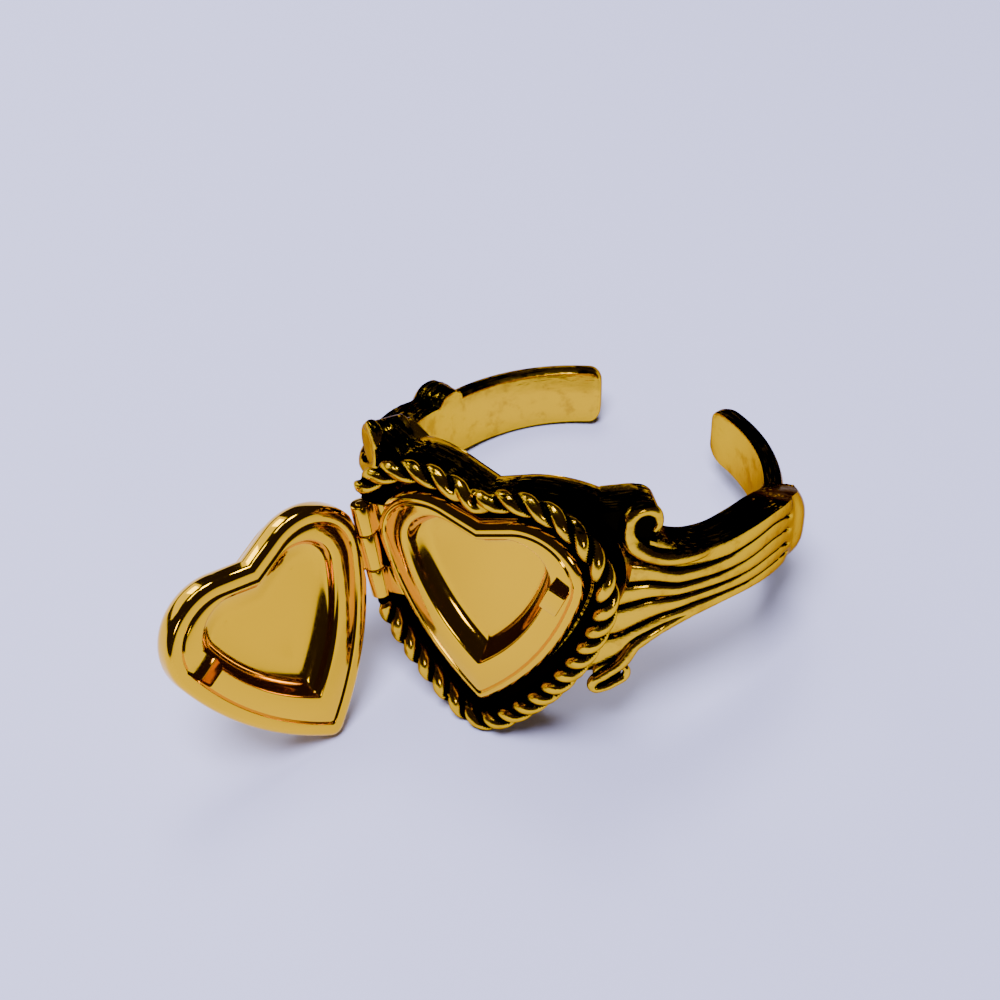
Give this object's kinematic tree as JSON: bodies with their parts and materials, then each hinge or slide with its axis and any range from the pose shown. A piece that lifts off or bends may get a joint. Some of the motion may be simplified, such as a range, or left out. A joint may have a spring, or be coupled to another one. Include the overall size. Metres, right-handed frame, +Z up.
{
  "type": "poison ring",
  "caption": "Open-backed finger ring with ribbed, scrolled shoulders and a hinged heart-shaped locket on top, lying on its side with the lid open.",
  "frame": {"origin": "on the axis of the finger hole, at the middle of the band's width", "axes": "+Z up from the surface that the ring lies on, the heart faces -Y, and the gap of the open band is at +Y"},
  "size_m": [0.0211, 0.0283, 0.0137],
  "materials": {
    "antiqued_gold": "gold plate with a black patina in the hollows",
    "polished_gold": "polished gold plate"
  },
  "bodies": {
    "ring": {"ring": "antiqued_gold", "locket_tray": "polished_gold", "hinge_pin": "polished_gold"},
    "lid": {"locket_lid": "polished_gold"}
  },
  "joints": [
    {"name": "lid_hinge", "type": "hinge", "parent": "ring", "child": "lid", "pos_m": [-0.00573, -0.01006, 0.00388], "axis": [-0.3165, 0.1778, 0.9318], "range_deg": [0, 111.5]}
  ]
}
